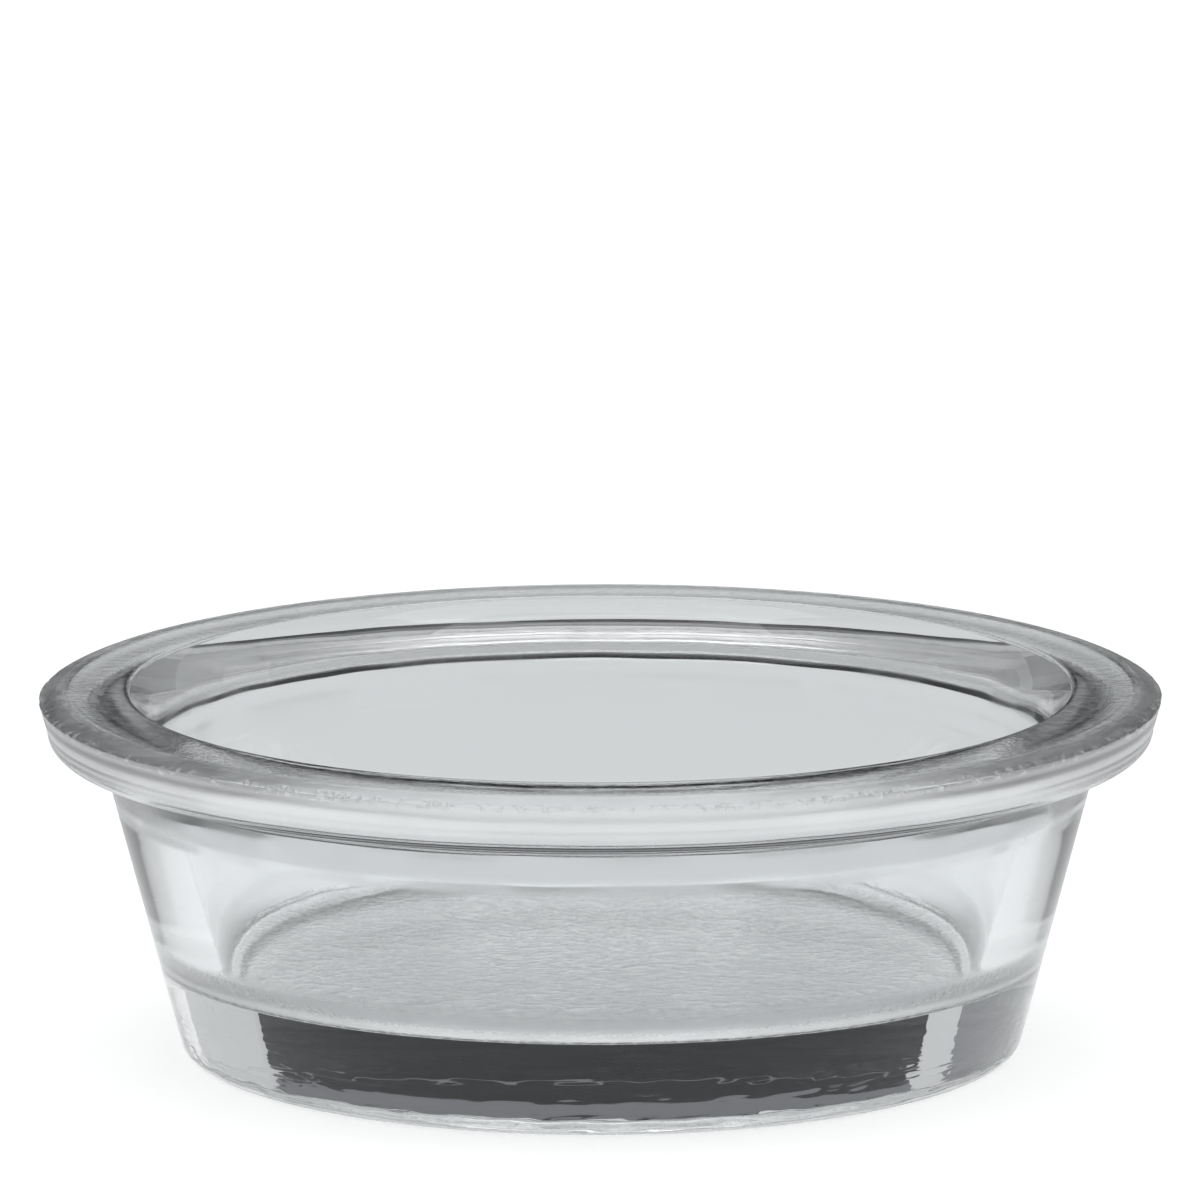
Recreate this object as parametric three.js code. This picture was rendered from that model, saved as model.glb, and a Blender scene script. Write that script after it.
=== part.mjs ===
// Crystallizing dish of pressed colourless glass: a low round bowl with a thick base, a tapered
// wall and a broad flat-topped flange round the mouth. It is one piece of glass, so it is one mesh.
//
// Units are millimetres, +Z is up, and the origin is the centre of the foot ring it stands on.

import * as THREE from 'three';

const { degToRad } = THREE.MathUtils;

// Driving dimensions.
const rimRadius = 40; // parting line, the widest part of the flange
const height = 26; // foot ring to the flat top of the flange
const wallRadiusAtBase = 29.9; // outer wall produced down to the foot ring's level
const wallTaper = degToRad(14.7); // lean of the outer wall from the vertical
const bowlRadiusAtBase = 25.6; // inner wall produced down to the same level
const bowlTaper = degToRad(17); // lean of the inner wall
const baseThickness = 6.7; // foot ring to the floor of the bowl

// Flange round the mouth.
const flangeThickness = 4.05; // flat top to flat underside
const partingDepth = 0.6; // flat top down to the parting line
const crownWidth = 2.0; // from the flat top's outer edge out to the parting line
const sideDraft = 0.56; // how far the flange's side draws in below the parting line
const flangeFootRadius = 1.45; // lower edge of the flange's side
const rootRadius = 1.35; // flange's underside to the outer wall

// Lip, where the flat top turns down into the bowl. It leaves the wall thicker than the taper would.
const lipRadiusAtTop = 33.7; // inner edge of the flat top, a soft corner
const lipEdgeSlope = degToRad(40); // how steeply the lip leaves that corner
const lipFootZ = 18.6; // where the lip runs out into the inner wall
const lipTopPull = 3.7; // how far the curve keeps to the slope at its top
const lipFootPull = 1.9; // how far it keeps to the inner wall at its foot

// Base.
const floorFilletRadius = 2.0; // inner wall to floor
const heelRadius = 1.0; // outer wall to foot ring
const footRingWidth = 2.0; // flat that the dish stands on
const hollowDepth = 1.0; // underside's hollow, next to the foot ring
const hollowDepthAtCentre = 0.6;
const hollowEdgeWidth = 1.2; // from the foot ring up into the hollow

// Facets.
const segmentsAround = 72;
const degreesPerArcStep = 15;

const up = Math.PI / 2;
const point = (radius, z) => new THREE.Vector2(radius, z);

// Radii of the two faces of the wall at a height.
const outerWallRadius = (z) => wallRadiusAtBase + z * Math.tan(wallTaper);
const innerWallRadius = (z) => bowlRadiusAtBase + z * Math.tan(bowlTaper);

// Points of an arc in the (radius, height) half-plane, both ends included.
function arc(centreRadius, centreZ, radius, startAngle, endAngle) {
  const steps = Math.ceil(Math.abs(endAngle - startAngle) / degToRad(degreesPerArcStep));
  return Array.from({ length: steps + 1 }, (_, i) => {
    const angle = startAngle + ((endAngle - startAngle) * i) / steps;
    return point(centreRadius + radius * Math.cos(angle), centreZ + radius * Math.sin(angle));
  });
}

// Underside: a faintly sagging hollow with a smooth edge, then the inner edge of the foot ring.
function underside() {
  const ringInnerRadius = wallRadiusAtBase + heelRadius * Math.tan(wallTaper)
    - heelRadius / Math.cos(wallTaper) - footRingWidth;
  const hollowRadius = ringInnerRadius - hollowEdgeWidth;
  const midRadius = ringInnerRadius - hollowEdgeWidth / 2;
  const edge = new THREE.CubicBezierCurve(
    point(hollowRadius, hollowDepth),
    point(midRadius, hollowDepth),
    point(midRadius, 0),
    point(ringInnerRadius, 0),
  );
  return [point(0, hollowDepthAtCentre), ...edge.getPoints(5)];
}

// Heel: a round tangent to the foot ring and to the outer wall.
function heel() {
  const centreRadius = outerWallRadius(heelRadius) - heelRadius / Math.cos(wallTaper);
  return arc(centreRadius, heelRadius, heelRadius, -up, -wallTaper);
}

// Root: a hollow round tangent to the outer wall and to the flange's underside.
function root() {
  const centreZ = height - flangeThickness - rootRadius;
  const centreRadius = outerWallRadius(centreZ) + rootRadius / Math.cos(wallTaper);
  return arc(centreRadius, centreZ, rootRadius, Math.PI - wallTaper, up);
}

// Side of the flange: a rounded lower edge, then a drafted face up to the parting line.
function flangeSide() {
  const undersideZ = height - flangeThickness;
  const footRadius = rimRadius - sideDraft - flangeFootRadius;
  const foot = arc(footRadius, undersideZ + flangeFootRadius, flangeFootRadius, -up, 0);
  return [...foot, point(rimRadius, height - partingDepth)];
}

// Crown: the shallow round from the parting line up to the flat top, on the circle that is level
// at the flat top and passes through the parting line.
function crown() {
  const radius = (crownWidth ** 2 + partingDepth ** 2) / (2 * partingDepth);
  const spread = Math.asin(crownWidth / radius);
  return arc(rimRadius - crownWidth, height - radius, radius, up - spread, up).slice(1);
}

// Lip: from the flat top's inner edge, bulging over the bowl, down to the inner wall and tangent to it.
function lip() {
  const footRadius = innerWallRadius(lipFootZ);
  const curve = new THREE.CubicBezierCurve(
    point(lipRadiusAtTop, height),
    point(
      lipRadiusAtTop - lipTopPull * Math.cos(lipEdgeSlope),
      height - lipTopPull * Math.sin(lipEdgeSlope),
    ),
    point(footRadius + lipFootPull * Math.sin(bowlTaper), lipFootZ + lipFootPull * Math.cos(bowlTaper)),
    point(footRadius, lipFootZ),
  );
  return curve.getPoints(9);
}

// Fillet at the bottom of the bowl, tangent to the inner wall and to the floor.
function floorFillet() {
  const centreZ = baseThickness + floorFilletRadius;
  const centreRadius = innerWallRadius(centreZ) - floorFilletRadius / Math.cos(bowlTaper);
  return arc(centreRadius, centreZ, floorFilletRadius, -bowlTaper, -up);
}

// The outline runs from the axis along the underside, up the outside, over the flange, down the
// inside and back to the axis along the floor.
const outline = [
  ...underside(),
  ...heel(),
  ...root(),
  ...flangeSide(),
  ...crown(),
  ...lip(),
  ...floorFillet(),
  point(0, baseThickness),
];

const colourlessGlass = new THREE.MeshStandardMaterial({
  color: 0xd2d6d8,
  roughness: 0.04,
  metalness: 0,
  transparent: true,
  opacity: 0.35,
});

const dish = new THREE.Mesh(
  new THREE.LatheGeometry(outline, segmentsAround).rotateX(up),
  colourlessGlass,
);
dish.name = 'dish';

const group = new THREE.Group();
group.add(dish);

export default group;
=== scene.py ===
import math

import bpy
import numpy as np
from mathutils import Matrix, Vector, noise


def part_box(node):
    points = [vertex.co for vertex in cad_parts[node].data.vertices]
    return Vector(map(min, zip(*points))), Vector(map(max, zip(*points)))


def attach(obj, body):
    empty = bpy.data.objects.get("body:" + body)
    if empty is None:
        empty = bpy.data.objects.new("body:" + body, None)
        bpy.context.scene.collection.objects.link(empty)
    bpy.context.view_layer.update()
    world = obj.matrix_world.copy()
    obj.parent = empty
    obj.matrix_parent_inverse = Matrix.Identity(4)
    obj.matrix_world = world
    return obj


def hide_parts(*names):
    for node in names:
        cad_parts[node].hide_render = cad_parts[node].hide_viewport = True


MM = 0.001
UP = math.pi / 2

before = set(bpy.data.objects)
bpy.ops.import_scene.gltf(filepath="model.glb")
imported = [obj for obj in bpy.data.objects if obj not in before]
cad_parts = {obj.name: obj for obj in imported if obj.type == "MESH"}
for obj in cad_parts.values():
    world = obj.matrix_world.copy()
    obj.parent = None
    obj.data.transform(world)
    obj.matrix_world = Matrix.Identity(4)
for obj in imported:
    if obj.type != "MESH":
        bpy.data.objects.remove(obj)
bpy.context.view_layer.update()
dish_low, dish_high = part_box("dish")

# Driving sizes of the dish. The rim and the height are the frame's, the rest are the CAD part's.
RIM_RADIUS = (dish_high.x - dish_low.x) / 2
HEIGHT = dish_high.z - dish_low.z
WALL_RADIUS_AT_BASE = 29.9 * MM
WALL_TAPER = math.radians(14.7)
BOWL_RADIUS_AT_BASE = 25.6 * MM
BOWL_TAPER = math.radians(17)
BASE_THICKNESS = 6.7 * MM

FLANGE_THICKNESS = 4.05 * MM
PARTING_DEPTH = 0.6 * MM
CROWN_WIDTH = 2.0 * MM
SIDE_DRAFT = 0.56 * MM
FLANGE_FOOT_RADIUS = 1.45 * MM
ROOT_RADIUS = 1.35 * MM

LIP_RADIUS_AT_TOP = 33.7 * MM
LIP_FOOT_Z = 18.6 * MM
LIP_EDGE_SLOPE = math.radians(40)
LIP_TOP_PULL = 3.7 * MM
LIP_FOOT_PULL = 1.9 * MM

FLOOR_FILLET_RADIUS = 2.0 * MM
HEEL_RADIUS = 1.0 * MM
FOOT_RING_WIDTH = 2.0 * MM
HOLLOW_DEPTH = 1.0 * MM
HOLLOW_DEPTH_AT_CENTRE = 0.6 * MM
HOLLOW_EDGE_WIDTH = 1.2 * MM

SEGMENTS_AROUND = 320

# Levels and a radius where one part of the surface ends and the next begins.
UNDERSIDE_Z = HEIGHT - FLANGE_THICKNESS
PARTING_Z = HEIGHT - PARTING_DEPTH
FLOOR_EDGE = 28.0 * MM

# Marks of the mould and of uneven cooling: how far each moves the surface, and where it is.
ORANGE_PEEL = 0.010 * MM
RING_MARK_RADIUS = 24.8 * MM
RING_MARK_WIDTH = 0.25 * MM
RING_MARK_DEPTH = 0.015 * MM
HEEL_CHILL = 0.03 * MM
HEEL_BAND_TOP = 6.0 * MM
SEAM_NICK = 0.16 * MM
SEAM_WIDTH = 0.15 * MM
RIPPLE = 0.012 * MM
LIP_WAVE = 0.05 * MM


# ---- The dish's outline, as points of the (radius, height) half-plane

def outer_wall_radius(z):
    return WALL_RADIUS_AT_BASE + z * math.tan(WALL_TAPER)


def inner_wall_radius(z):
    return BOWL_RADIUS_AT_BASE + z * math.tan(BOWL_TAPER)


def arc(centre, radius, start, end, steps):
    """An arc, both ends included."""
    angles = np.linspace(start, end, steps + 1)
    return np.stack([centre[0] + radius * np.cos(angles), centre[1] + radius * np.sin(angles)], 1)


def bezier(a, b, c, d, steps):
    """A cubic curve from a to d that leaves a towards b and arrives from c, both ends included."""
    s = np.linspace(0, 1, steps + 1)[:, None]
    corners = [np.array(corner) for corner in (a, b, c, d)]
    weights = [(1 - s) ** 3, 3 * (1 - s) ** 2 * s, 3 * (1 - s) * s**2, s**3]
    return sum(weight * corner for weight, corner in zip(weights, corners))


def straight(start, end, steps):
    """Points between start and end, both ends left out."""
    s = np.linspace(0, 1, steps + 1)[1:-1, None]
    return np.array(start) * (1 - s) + np.array(end) * s


def foot_ring_inner_radius():
    return outer_wall_radius(HEEL_RADIUS) - HEEL_RADIUS / math.cos(WALL_TAPER) - FOOT_RING_WIDTH


def hollow():
    """The underside's roof, a cone that sags a little towards its rounded middle."""
    edge = foot_ring_inner_radius() - HOLLOW_EDGE_WIDTH
    sag = HOLLOW_DEPTH - HOLLOW_DEPTH_AT_CENTRE
    return bezier(
        (0, HOLLOW_DEPTH_AT_CENTRE),
        (edge / 3, HOLLOW_DEPTH_AT_CENTRE),
        (edge * 2 / 3, HOLLOW_DEPTH - sag * 0.4),
        (edge, HOLLOW_DEPTH),
        18,
    )


def hollow_edge():
    ring_inner = foot_ring_inner_radius()
    middle = ring_inner - HOLLOW_EDGE_WIDTH / 2
    start = (ring_inner - HOLLOW_EDGE_WIDTH, HOLLOW_DEPTH)
    return bezier(start, (middle, HOLLOW_DEPTH), (middle, 0), (ring_inner, 0), 12)


def heel():
    centre = (outer_wall_radius(HEEL_RADIUS) - HEEL_RADIUS / math.cos(WALL_TAPER), HEEL_RADIUS)
    return arc(centre, HEEL_RADIUS, -UP, -WALL_TAPER, 12)


def root():
    z = UNDERSIDE_Z - ROOT_RADIUS
    centre = (outer_wall_radius(z) + ROOT_RADIUS / math.cos(WALL_TAPER), z)
    return arc(centre, ROOT_RADIUS, math.pi - WALL_TAPER, UP, 12)


def flange_foot():
    centre = (RIM_RADIUS - SIDE_DRAFT - FLANGE_FOOT_RADIUS, UNDERSIDE_Z + FLANGE_FOOT_RADIUS)
    return arc(centre, FLANGE_FOOT_RADIUS, -UP, 0, 12)


def below_parting():
    """A point of the flange's side just below the parting line, so that the nicks stay small."""
    foot_z = UNDERSIDE_Z + FLANGE_FOOT_RADIUS
    share = 1 - SEAM_WIDTH / (PARTING_Z - foot_z)
    foot = np.array([[RIM_RADIUS - SIDE_DRAFT, foot_z]])
    return foot + share * (np.array([[RIM_RADIUS, PARTING_Z]]) - foot)


def crown():
    radius = (CROWN_WIDTH**2 + PARTING_DEPTH**2) / (2 * PARTING_DEPTH)
    spread = math.asin(CROWN_WIDTH / radius)
    return arc((RIM_RADIUS - CROWN_WIDTH, HEIGHT - radius), radius, UP - spread, UP, 12)


def lip():
    foot_radius = inner_wall_radius(LIP_FOOT_Z)
    foot_pull = (
        foot_radius + LIP_FOOT_PULL * math.sin(BOWL_TAPER),
        LIP_FOOT_Z + LIP_FOOT_PULL * math.cos(BOWL_TAPER),
    )
    top = (LIP_RADIUS_AT_TOP, HEIGHT)
    top_pull = (
        LIP_RADIUS_AT_TOP - LIP_TOP_PULL * math.cos(LIP_EDGE_SLOPE),
        HEIGHT - LIP_TOP_PULL * math.sin(LIP_EDGE_SLOPE),
    )
    return bezier(top, top_pull, foot_pull, (foot_radius, LIP_FOOT_Z), 44)


def floor_fillet():
    z = BASE_THICKNESS + FLOOR_FILLET_RADIUS
    centre = (inner_wall_radius(z) - FLOOR_FILLET_RADIUS / math.cos(BOWL_TAPER), z)
    return arc(centre, FLOOR_FILLET_RADIUS, -BOWL_TAPER, -UP, 14)


def outline():
    """From the axis along the underside, up the outside, over the flange and down to the floor's middle.

    Each bend has the number of straight steps that join it to the next one.
    """
    bends = [
        (hollow(), 1),
        (hollow_edge()[1:], 3),
        (heel(), 32),
        (np.array([[outer_wall_radius(HEEL_BAND_TOP), HEEL_BAND_TOP]]), 18),
        (root(), 3),
        (flange_foot(), 5),
        (below_parting(), 1),
        (crown(), 12),
        (lip(), 14),
        (floor_fillet(), 62),
        (np.array([[0, BASE_THICKNESS]]), 0),
    ]
    points = []
    for (bend, steps), (following, _) in zip(bends, bends[1:]):
        points += [bend, straight(bend[-1], following[0], steps)]
    return np.concatenate(points + [bends[-1][0]])


# ---- The marks on it

def ramp(value, start, end):
    """0 before start, 1 after end, smooth between. Start may be the larger."""
    share = min(max((value - start) / (end - start), 0.0), 1.0)
    return share * share * (3 - 2 * share)


def wave(place, width, height, seed):
    """Smooth noise between -1 and 1 whose bumps are about this wide and high."""
    return noise.noise(Vector((place.x / width, place.y / width, place.z / height + seed)))


def ripple(way):
    """Turning marks of the mould: rings, the same all round, whose height changes along the outline."""
    fine = noise.noise(Vector((way / (0.5 * MM), 0.0, 11.0)))
    broad = noise.noise(Vector((way / (1.1 * MM), 0.0, 17.0)))
    return RIPPLE * (0.5 * fine + broad)


def floor_marks(place, radius):
    """Orange peel all over the bowl's floor, and a faint ring near its edge."""
    orange_peel = wave(place, 0.9 * MM, MM, 0.0) + wave(place, 1.8 * MM, MM, 7.0)
    ring = math.exp(-(((radius - RING_MARK_RADIUS) / RING_MARK_WIDTH) ** 2))
    return ORANGE_PEEL * orange_peel + RING_MARK_DEPTH * ring


def lip_marks(place):
    """Slow waves in the middle of the lip, and ripples all over it."""
    strength = ramp(place.z, LIP_FOOT_Z - MM, LIP_FOOT_Z + MM) * ramp(place.z, HEIGHT, HEIGHT - 2 * MM)
    return LIP_WAVE * strength * wave(place, 5.0 * MM, 3.0 * MM, 21.0) + ripple(place.z)


def heel_marks(place):
    """Chill waves, where the hot glass first met the mould. They fade upwards and into the heel."""
    strength = 0.6 * ramp(place.z, HEEL_BAND_TOP / 2, HEEL_BAND_TOP / 5)
    strength += 0.4 * ramp(place.z, HEEL_BAND_TOP, HEEL_BAND_TOP / 2)
    strength *= ramp(place.z, 0.1 * MM, 0.4 * MM)
    chill = wave(place, 1.8 * MM, 0.36 * MM, 3.0) + 0.6 * wave(place, 0.8 * MM, 0.25 * MM, 9.0)
    return HEEL_CHILL * strength * chill


def seam_marks(place):
    """Nicks in the edge at the parting line."""
    return SEAM_NICK * min(0.0, wave(place, 0.9 * MM, MM, 5.0) + 0.1)


def raised(place, by):
    return place + Vector((0, 0, by))


def widened(place, radius, by):
    scale = 1 + by / radius
    return Vector((place.x * scale, place.y * scale, place.z))


def marked(place):
    """Where a point of the ideal dish lies on the real one."""
    radius = math.hypot(place.x, place.y)
    top = HEIGHT - 0.01 * MM
    inside = radius < inner_wall_radius(place.z) + 0.3 * MM
    outside = radius > outer_wall_radius(place.z) - 0.2 * MM
    at_seam = radius > RIM_RADIUS - 0.3 * MM and abs(place.z - PARTING_Z) < 0.02 * MM
    if radius < FLOOR_EDGE and place.z > BASE_THICKNESS / 2:
        return raised(place, floor_marks(place, radius))
    if inside and LIP_FOOT_Z - MM < place.z < top:
        return widened(place, radius, lip_marks(place))
    if place.z > top:
        return raised(place, -abs(ripple(radius)) / 2)
    if outside and place.z < HEEL_BAND_TOP:
        return widened(place, radius, heel_marks(place))
    if at_seam:
        return widened(place, radius, seam_marks(place))
    return place


# ---- The mesh

def ring_points(points):
    """The outline turned about the Z axis: one ring of points for each point off the axis."""
    angles = np.arange(SEGMENTS_AROUND) * 2 * math.pi / SEGMENTS_AROUND
    radii = points[1:-1, 0][:, None]
    heights = np.broadcast_to(points[1:-1, 1][:, None], (len(radii), SEGMENTS_AROUND))
    rings = np.stack([radii * np.cos(angles), radii * np.sin(angles), heights], 2)
    return np.concatenate([[[0, 0, points[0, 1]]], rings.reshape(-1, 3), [[0, 0, points[-1, 1]]]])


def ring_faces(ring_count):
    """Quads between neighbouring rings, and triangles to the points on the axis at both ends."""
    faces = []
    top = 1 + ring_count * SEGMENTS_AROUND
    for j in range(SEGMENTS_AROUND):
        k = (j + 1) % SEGMENTS_AROUND
        faces.append((0, 1 + k, 1 + j))
        for i in range(ring_count - 1):
            near = 1 + i * SEGMENTS_AROUND
            far = near + SEGMENTS_AROUND
            faces.append((near + j, near + k, far + k, far + j))
        last = top - SEGMENTS_AROUND
        faces.append((last + j, last + k, top))
    return faces


def lathe(name, points):
    """The outline as a mesh object, marks and all."""
    mesh = bpy.data.meshes.new(name)
    places = [marked(Vector(place)) for place in ring_points(points)]
    mesh.from_pydata(places, [], ring_faces(len(points) - 2))
    mesh.shade_smooth()
    piece = bpy.data.objects.new(name, mesh)
    bpy.context.scene.collection.objects.link(piece)
    return piece


# ---- Material

# Scales of the noises, in cells per metre.
PATCH_SCALE = 160.0
TURNING_LINE_SCALE = 2400.0
GRAIN_SCALE = 1400.0
CHIP_SCALE = 1500.0


class Graph:
    """A material's node tree, with short ways to add nodes. Each one returns an output socket."""

    def __init__(self, material):
        self.tree = material.node_tree
        self.shader = self.tree.nodes["Principled BSDF"]

    def add(self, kind, inputs, output=0, **settings):
        node = self.tree.nodes.new(kind)
        for key, value in settings.items():
            setattr(node, key, value)
        for socket, value in inputs.items():
            if isinstance(value, bpy.types.NodeSocket):
                self.tree.links.new(value, node.inputs[socket])
            else:
                node.inputs[socket].default_value = value
        return node.outputs[output]

    def drive(self, socket, value):
        """Links a value to a socket of the shader, and returns nothing."""
        self.tree.links.new(value, self.shader.inputs[socket])

    def math(self, operation, a, b=0.0):
        return self.add("ShaderNodeMath", {0: a, 1: b}, operation=operation)

    def product(self, first, *others):
        for other in others:
            first = self.math("MULTIPLY", first, other)
        return first

    def total(self, first, *others):
        for other in others:
            first = self.math("ADD", first, other)
        return first

    def rise(self, value, start, end, low=0.0, high=1.0):
        """Goes smoothly from low to high as value goes from start to end."""
        inputs = {"Value": value, "From Min": start, "From Max": end, "To Min": low, "To Max": high}
        return self.add("ShaderNodeMapRange", inputs, interpolation_type="SMOOTHSTEP")

    def edge(self, value, level, start, end):
        """Goes smoothly from 0 to 1 as value goes from start to end, both in mm from the level."""
        return self.rise(value, level + start * MM, level + end * MM)

    def place(self):
        """Where on the object a point is, in metres."""
        return self.add("ShaderNodeTexCoord", {}, output="Object")

    def vector(self, x, y, z):
        return self.add("ShaderNodeCombineXYZ", {0: x, 1: y, 2: z})

    def length(self, vector):
        return self.add("ShaderNodeVectorMath", {0: vector}, output="Value", operation="LENGTH")

    def noise(self, vector, scale, detail, roughness):
        inputs = {"Vector": vector, "Scale": scale, "Detail": detail, "Roughness": roughness}
        return self.add("ShaderNodeTexNoise", inputs)


def surface_zones(graph, z, radius):
    """Masks: 1 on a part of the dish's surface, 0 off it, with soft edges."""
    root_z = UNDERSIDE_Z - ROOT_RADIUS
    rim = graph.product(
        graph.edge(z, UNDERSIDE_Z, 0.45, 1.35),
        graph.edge(radius, RIM_RADIUS, -2.2, -1.4),
    )
    root = graph.product(
        graph.edge(z, root_z, -0.2, 0.4),
        graph.edge(z, UNDERSIDE_Z, 0.45, -0.05),
        graph.edge(radius, outer_wall_radius(root_z), -0.7, -0.1),
    )
    lip_foot = graph.product(
        graph.edge(z, LIP_FOOT_Z, -1.0, -0.3),
        graph.edge(z, LIP_FOOT_Z, 2.9, 1.9),
        graph.edge(radius, LIP_RADIUS_AT_TOP, -0.2, -0.7),
    )
    floor = graph.product(
        graph.edge(radius, FLOOR_EDGE, 1.2, 0.6),
        graph.edge(z, BASE_THICKNESS, 2.8, 1.3),
        graph.edge(z, BASE_THICKNESS, -2.7, -1.2),
    )
    flat_floor = graph.product(floor, graph.edge(z, BASE_THICKNESS, 0.4, 0.05))
    return {
        "rim": rim,
        "side": graph.product(rim, graph.edge(z, PARTING_Z, 0.02, -0.05)),
        "crown": graph.product(
            graph.edge(z, PARTING_Z, -0.05, 0.02),
            graph.edge(radius, RIM_RADIUS - CROWN_WIDTH, -0.2, 0.2),
        ),
        "seam": graph.product(
            graph.edge(z, PARTING_Z, -0.5, -0.15),
            graph.edge(z, PARTING_Z, 0.35, 0.1),
            graph.edge(radius, RIM_RADIUS, -1.5, -1.3),
        ),
        "top": graph.edge(z, HEIGHT, -0.1, -0.03),
        "root": root,
        "lip foot": lip_foot,
        "floor": floor,
        "flat floor": flat_floor,
        "fillet": graph.math("SUBTRACT", floor, flat_floor),
    }


def glass_material():
    """Clear glass: fire-polished on the walls, duller on the flange and the floor."""
    mat = bpy.data.materials.new("pressed_glass")
    mat.use_nodes = True
    graph = Graph(mat)
    place = graph.place()
    x, y, z = (graph.add("ShaderNodeSeparateXYZ", {0: place}, output=i) for i in range(3))
    radius = graph.length(graph.vector(x, y, 0.0))
    on = surface_zones(graph, z, radius)

    # Turning lines run right round the dish, and are worn shallower in patches.
    across = graph.product(graph.math("SUBTRACT", z, radius), TURNING_LINE_SCALE)
    patches = graph.noise(place, PATCH_SCALE, 2.0, 0.5)
    lines = graph.noise(graph.vector(0.0, 0.0, across), 1.0, 3.0, 0.7)
    worn_lines = graph.product(lines, graph.rise(patches, 0.3, 0.6))
    grain = graph.noise(place, GRAIN_SCALE, 3.0, 0.6)
    chips = graph.product(on["seam"], graph.rise(graph.noise(place, CHIP_SCALE, 4.0, 0.7), 0.52, 0.6))

    dullness = graph.total(
        0.02,
        graph.product(on["rim"], graph.rise(patches, 0.35, 0.7, 0.34, 0.46)),
        graph.product(on["top"], graph.rise(patches, 0.35, 0.7, 0.06, 0.14)),
        graph.product(on["root"], graph.rise(patches, 0.4, 0.6, 0.05, 0.18)),
        graph.product(on["lip foot"], graph.rise(patches, 0.4, 0.6, 0.08, 0.2)),
        graph.product(on["floor"], graph.rise(patches, 0.35, 0.7, 0.12, 0.2)),
        graph.product(on["fillet"], 0.28),
    )
    # The matt parts scatter some of the light, in lines and in specks.
    haze = graph.total(
        graph.product(on["side"], graph.rise(lines, 0.4, 0.6, 0.25, 0.6)),
        graph.product(on["flat floor"], graph.rise(grain, 0.42, 0.62, 0.05, 0.4)),
        graph.product(on["top"], graph.rise(grain, 0.42, 0.62, 0.0, 0.15)),
        graph.product(on["crown"], graph.rise(grain, 0.42, 0.62, 0.0, 0.12)),
        graph.product(chips, 0.3),
    )
    height = graph.total(
        graph.product(on["rim"], worn_lines, 0.03 * MM),
        graph.product(on["root"], worn_lines, 0.012 * MM),
        graph.product(on["top"], worn_lines, 0.04 * MM),
        graph.product(on["top"], grain, 0.045 * MM),
        graph.product(on["floor"], grain, 0.05 * MM),
        graph.product(on["crown"], grain, 0.04 * MM),
        graph.product(chips, -0.06 * MM),
    )

    graph.shader.inputs["Base Color"].default_value = (0.93, 0.94, 0.945, 1)
    graph.shader.inputs["IOR"].default_value = 1.5
    graph.drive("Roughness", dullness)
    graph.drive("Transmission Weight", graph.math("SUBTRACT", 1.0, haze))
    bump = {"Height": height, "Strength": 1.0, "Distance": 1.0}
    graph.drive("Normal", graph.add("ShaderNodeBump", bump))
    return mat


dish = lathe("pressed_dish", outline())
dish.data.materials.append(glass_material())
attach(dish, "root")
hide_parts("dish")


# ---- Studio

FLOOR_REACH = 4.0
FLOOR_Z = -0.1 * MM
TABLE_Z = -0.2 * MM
CARD_DISTANCE = 0.7
CARD_COLUMNS = 24
BLACK = (0, 0, 0)


def stage_mesh(name, corners, faces, colour, glow):
    """A matt, glowing surface of the studio."""
    mesh = bpy.data.meshes.new(name)
    mesh.from_pydata(corners, [], faces)
    obj = bpy.data.objects.new(name, mesh)
    bpy.context.scene.collection.objects.link(obj)
    mat = bpy.data.materials.new(name)
    mat.use_nodes = True
    bsdf = mat.node_tree.nodes["Principled BSDF"]
    bsdf.inputs["Base Color"].default_value = (*colour, 1)
    bsdf.inputs["Roughness"].default_value = 1.0
    bsdf.inputs["Specular IOR Level"].default_value = 0.0
    bsdf.inputs["Emission Color"].default_value = (*glow, 1)
    bsdf.inputs["Emission Strength"].default_value = 1.0
    mesh.materials.append(mat)
    return obj


def level_card(name, x, y, z, colour, glow):
    """A level rectangle from x[0] to x[1] and from y[0] to y[1]."""
    corners = [(x[0], y[0], z), (x[1], y[0], z), (x[1], y[1], z), (x[0], y[1], z)]
    return stage_mesh(name, corners, [(0, 1, 2, 3)], colour, glow)


def arc_card(name, azimuths, elevations, glow):
    """An upright card, part of a cylinder round the dish. Azimuth 0 is straight behind, + is right."""
    turns = np.radians(np.linspace(azimuths[0], azimuths[1], CARD_COLUMNS))
    levels = [CARD_DISTANCE * math.tan(math.radians(e)) for e in elevations]
    corners = [(CARD_DISTANCE * math.sin(t), CARD_DISTANCE * math.cos(t), z) for t in turns for z in levels]
    faces = [(2 * i, 2 * i + 2, 2 * i + 3, 2 * i + 1) for i in range(CARD_COLUMNS - 1)]
    card = stage_mesh(name, corners, faces, BLACK, glow)
    card.visible_camera = False
    card.visible_diffuse = False
    card.visible_shadow = False
    return card


# The camera sees the floor, and the glass sees the light table just under it.
whole_floor = (-FLOOR_REACH, FLOOR_REACH)
floor = level_card("floor", whole_floor, whole_floor, FLOOR_Z, (0.9, 0.9, 0.9), (0.52, 0.52, 0.52))
floor.visible_transmission = False
floor.visible_glossy = False

table = level_card("light_table", whole_floor, whole_floor, TABLE_Z, BLACK, (0.98, 1.0, 1.01))
table.visible_camera = False
table.visible_diffuse = False
graph = Graph(table.data.materials[0])
# Its glow is strongest under the dish and dims from 45 to 90 mm out, painted shade round the dish, then
# brightens again from half a metre to a metre.
distance = graph.length(graph.place())
light_near_dish = graph.rise(distance, 45 * MM, 90 * MM, 0.93, 0.71)
light_far_off = graph.rise(distance, 500 * MM, 1000 * MM, 0.0, 0.17)
graph.drive("Emission Strength", graph.total(light_near_dish, light_far_off))

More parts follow.
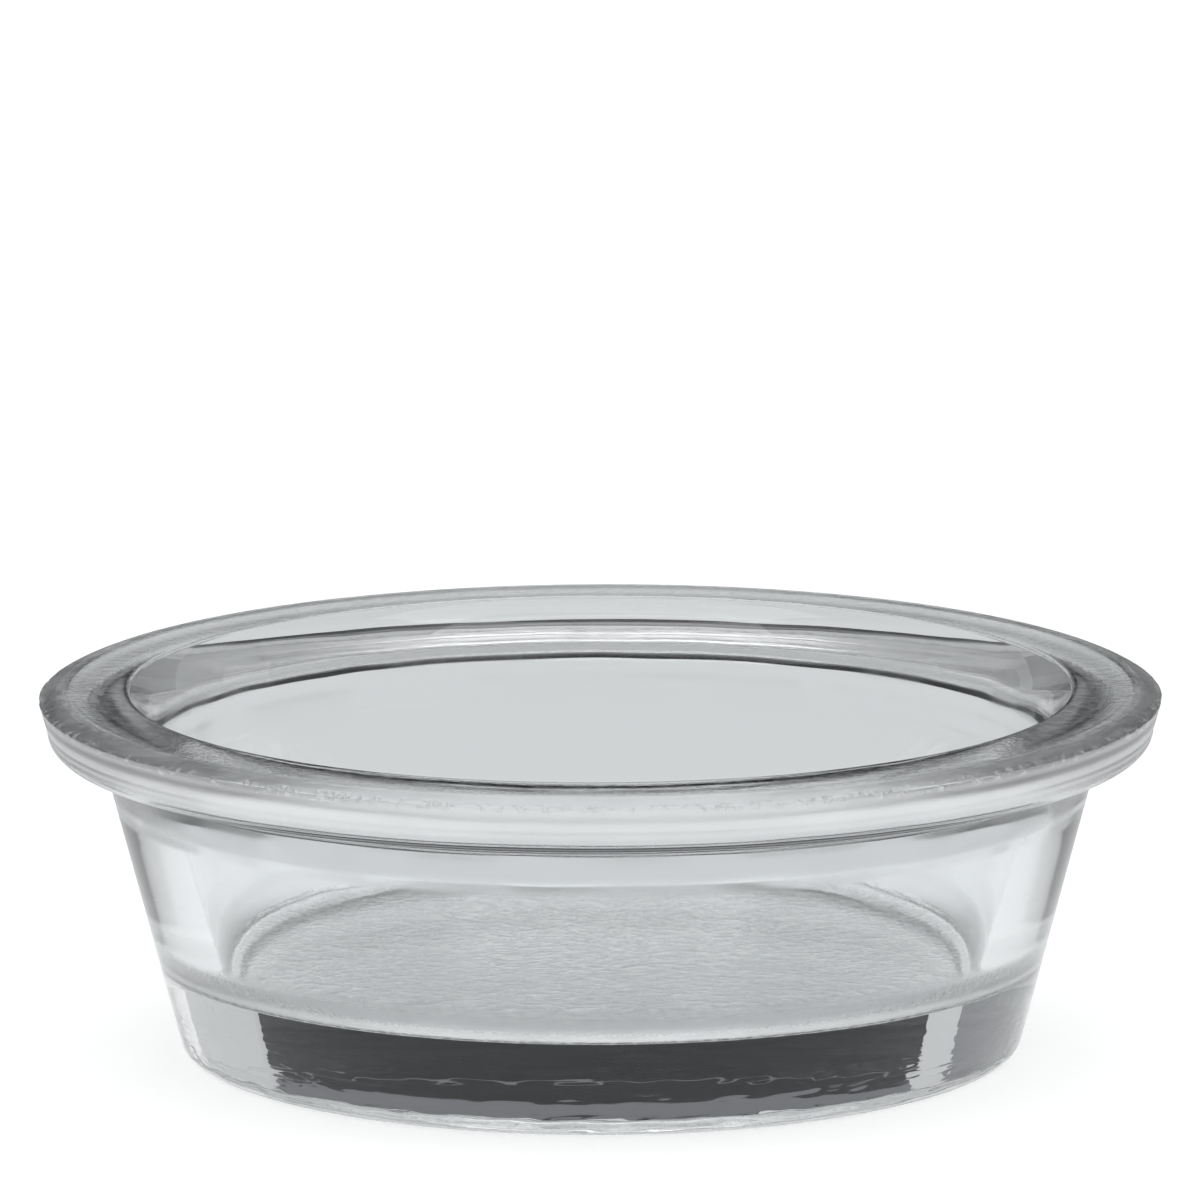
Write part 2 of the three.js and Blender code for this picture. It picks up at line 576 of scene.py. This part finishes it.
# Dark cloth behind, with a grey fold, and a lamp over it.
arc_card("black_backdrop", (-34, 37), (0, 8), (0.005, 0.006, 0.007))
arc_card("backdrop_fold", (-34, 37), (8, 14), (0.15, 0.155, 0.165))
arc_card("backdrop_top", (-34, 37), (14, 25), (0.01, 0.011, 0.012))
arc_card("back_softbox", (-34, 37), (25, 36), (0.8, 0.81, 0.82))

# Strips and wings at the sides, and lamps at the right, in front and overhead.
arc_card("left_strip", (-41, -34), (0, 18), (0.55, 0.56, 0.57))
arc_card("left_wing", (-78, -41), (0, 18), (0.18, 0.185, 0.195))
arc_card("right_wing", (38, 62), (0, 18), (0.53, 0.54, 0.55))
arc_card("right_lamp", (62, 82), (0, 18), (1.0, 1.0, 1.0))
arc_card("front_softbox", (130, 230), (35, 50), (2.6, 2.6, 2.6))

softbox = level_card("overhead_softbox", (-0.6, 0.6), (-0.42, 0), 0.9, BLACK, (1.8, 1.8, 1.8))
softbox.visible_camera = False

world = bpy.data.worlds.new("studio")
world.use_nodes = True
world.node_tree.nodes["Background"].inputs["Color"].default_value = (0.98, 1.0, 1.0, 1)
world.node_tree.nodes["Background"].inputs["Strength"].default_value = 0.5
bpy.context.scene.world = world
bpy.context.scene.view_settings.view_transform = "Standard"


# ---- Camera

CAMERA_BACK = 25 * RIM_RADIUS
CAMERA_UP = 5.667 * RIM_RADIUS
CAMERA_PITCH = 0.192024
CAMERA_ROLL = -0.0031
FRAME_PX = 1200
FOCAL_PX = 14312

cam_data = bpy.data.cameras.new("camera")
cam_data.sensor_width = 36
cam_data.lens = FOCAL_PX / FRAME_PX * cam_data.sensor_width
cam_data.clip_start = 0.05
cam_data.clip_end = 20
camera = bpy.data.objects.new("camera", cam_data)
bpy.context.scene.collection.objects.link(camera)
camera.matrix_world = (
    Matrix.Translation((0, -CAMERA_BACK, CAMERA_UP))
    @ Matrix.Rotation(UP - CAMERA_PITCH, 4, "X")
    @ Matrix.Rotation(CAMERA_ROLL, 4, "Z")
)
bpy.context.scene.camera = camera
